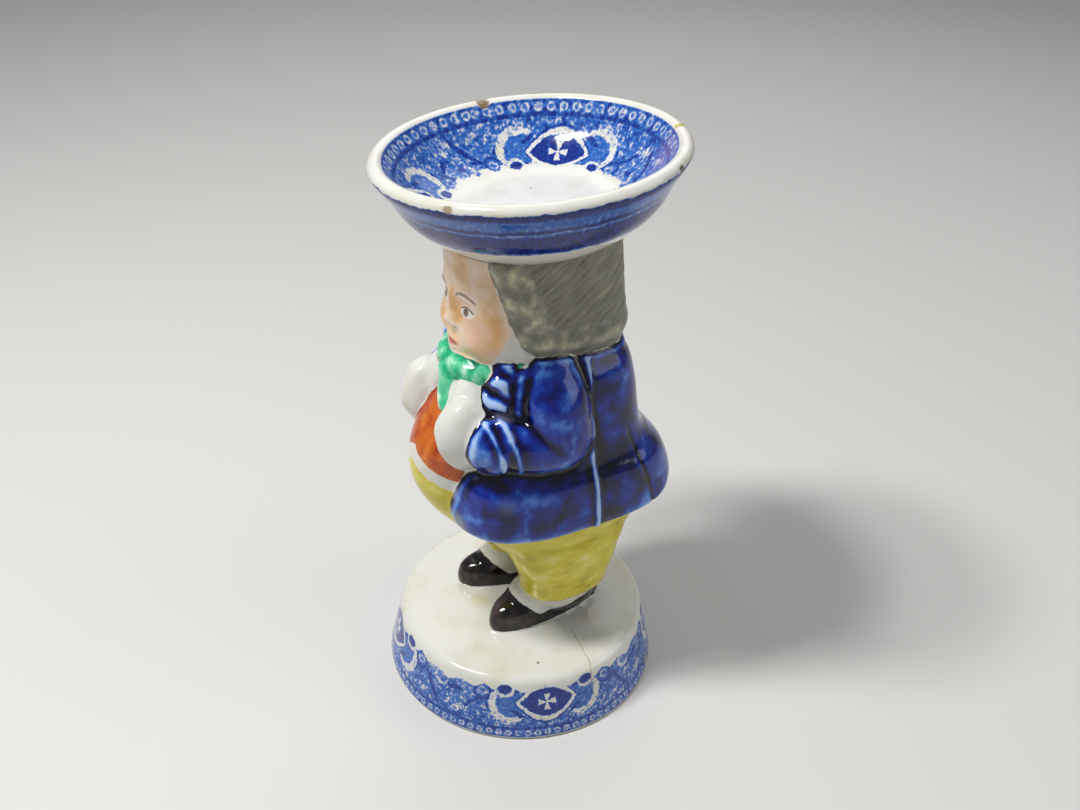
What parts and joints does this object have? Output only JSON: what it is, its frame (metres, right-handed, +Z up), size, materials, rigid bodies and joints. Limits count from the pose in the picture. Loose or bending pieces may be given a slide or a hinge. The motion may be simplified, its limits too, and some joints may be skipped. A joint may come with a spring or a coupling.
{
  "type": "toby salt cellar",
  "caption": "Figural salt cellar in glazed earthenware: a stout standing man in coat and breeches on a round base, carrying an open dish on the head.",
  "frame": {"origin": "centre of the underside of the base, on the table", "axes": "+Z up along the figure, -Y the way the figure faces, +X towards the figure's left side"},
  "size_m": [0.0664, 0.0664, 0.134],
  "materials": {
    "glazed_earthenware": "gloss"
  },
  "bodies": {
    "root": {"toby_salt_cellar": "glazed_earthenware"}
  },
  "joints": []
}
